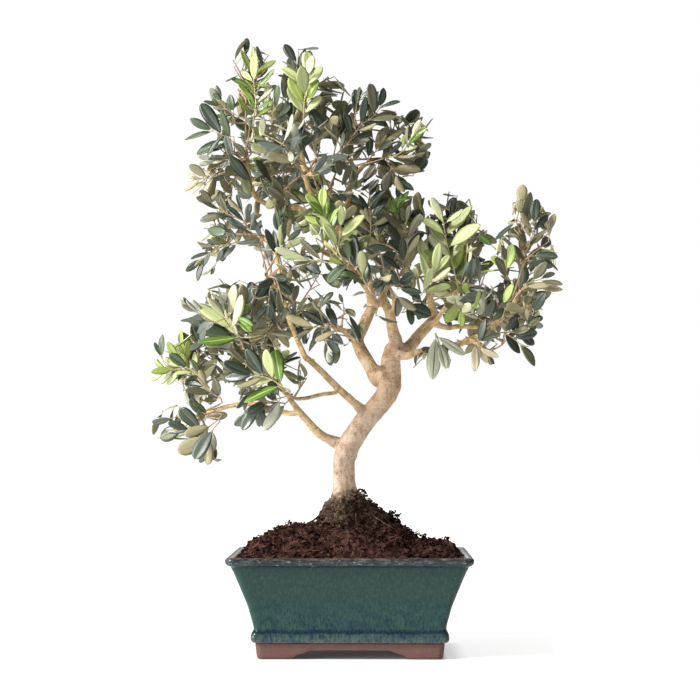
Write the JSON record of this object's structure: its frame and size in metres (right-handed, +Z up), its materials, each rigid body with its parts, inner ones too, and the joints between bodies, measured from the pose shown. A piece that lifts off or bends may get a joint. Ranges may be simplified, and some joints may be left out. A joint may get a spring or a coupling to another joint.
{
  "type": "potted olive bonsai",
  "caption": "Olive bonsai tree with a leaning trunk, forked boughs and leafy sprays, in soil in a rectangular green glazed pot on bracket feet.",
  "frame": {"origin": "on the ground under the middle of the pot", "axes": "+Z up from the pot's feet to the crown, +X along the pot's long side, -Y towards the pot's front"},
  "size_m": [0.3751, 0.2465, 0.5678],
  "materials": {
    "glaze": "gloss",
    "clay": "matte",
    "soil": "matte",
    "bark": "matte",
    "leaf": "satin"
  },
  "bodies": {
    "root": {"arching_left_branch": "bark", "arching_left_leaves": "leaf", "arching_side_branch": "bark", "back_bough": "bark", "back_centre_leaves": "leaf", "back_left_branch": "bark", "back_left_leaves": "leaf", "back_right_branch": "bark", "back_right_leaves": "leaf", "back_top_branch": "bark", "back_top_leaves": "leaf", "back_upper_bough": "bark", "centre_bough": "bark", "centre_leader_branch": "bark", "centre_leaves": "leaf", "centre_left_branch": "bark", "centre_left_leaves": "leaf", "centre_low_leaves": "leaf", "clay_base": "clay", "far_right_leaves": "leaf", "far_right_low_leaves": "leaf", "front_centre_branch": "bark", "front_centre_leaves": "leaf", "front_low_branch": "bark", "front_top_branch": "bark", "front_top_leaves": "leaf", "left_back_leaves": "leaf", "left_inner_leaves": "leaf", "low_left_bough": "bark", "low_left_high_leaves": "leaf", "low_left_inner_leaves": "leaf", "low_left_level_branch": "bark", "low_left_outer_leaves": "leaf", "low_left_rising_branch": "bark", "low_left_tip_leaves": "leaf", "low_right_bough": "bark", "low_right_drop_leaves": "leaf", "low_right_drop_spur": "bark", "low_right_leaves": "leaf", "low_right_stub_branch": "bark", "pot": "glaze", "right_bough": "bark", "right_front_leaves": "leaf", "right_outer_branch": "bark", "right_outer_leaves": "leaf", "right_rising_branch": "bark", "right_upper_branch": "bark", "right_upper_leaves": "leaf", "second_left_bough": "bark", "second_left_spur": "bark", "soil": "soil", "top_bough": "bark", "top_crown": "leaf", "top_inner_leaves": "leaf", "top_left_branch": "bark", "top_left_crown": "leaf", "top_left_outer_leaves": "leaf", "top_right_branch": "bark", "top_right_crown": "leaf", "trunk": "bark"}
  },
  "joints": []
}
